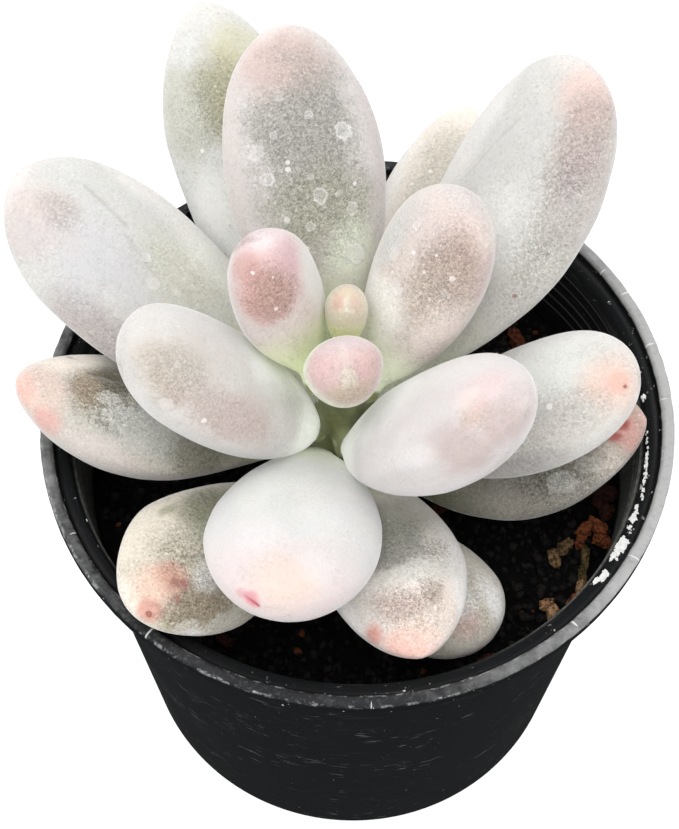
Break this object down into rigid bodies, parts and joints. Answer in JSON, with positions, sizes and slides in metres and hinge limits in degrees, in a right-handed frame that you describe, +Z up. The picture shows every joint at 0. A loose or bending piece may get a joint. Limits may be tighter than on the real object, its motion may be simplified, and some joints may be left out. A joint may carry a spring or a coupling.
{
  "type": "potted sweet dumpling pachyphytum",
  "caption": "Small succulent with plump egg-shaped leaves spiralling round a short stem, rooted in dark potting mix in a thin black plastic nursery pot.",
  "frame": {"origin": "centre of the flat underside of the pot", "axes": "+Z up; -Y towards the front, from where the picture looks down; +X to the right seen from the front"},
  "size_m": [0.0839, 0.0907, 0.1012],
  "materials": {
    "pot_plastic": "thin black polypropylene, satin, scuffed at the lip",
    "potting_mix": "dark moist potting mix with bark and small white grains",
    "stem_skin": "pale green fleshy stem",
    "leaf_skin": "fleshy leaf under pale powdery bloom, blushed pink at the tip"
  },
  "bodies": {
    "root": {"pot": "pot_plastic", "potting_mix": "potting_mix", "stem": "stem_skin", "leaf_rear_left": "leaf_skin", "leaf_rear_right": "leaf_skin", "leaf_left_tall": "leaf_skin", "leaf_right_tall": "leaf_skin", "leaf_rear_tall": "leaf_skin", "leaf_left_low": "leaf_skin", "leaf_front_left": "leaf_skin", "leaf_front_small": "leaf_skin", "leaf_right_lowest": "leaf_skin", "leaf_right_low": "leaf_skin", "leaf_front_right": "leaf_skin", "leaf_front_middle": "leaf_skin", "leaf_left_middle": "leaf_skin", "leaf_right_middle": "leaf_skin", "leaf_right_upper": "leaf_skin", "leaf_left_upper": "leaf_skin", "leaf_front_bud": "leaf_skin", "leaf_tip_bud": "leaf_skin"}
  },
  "joints": []
}
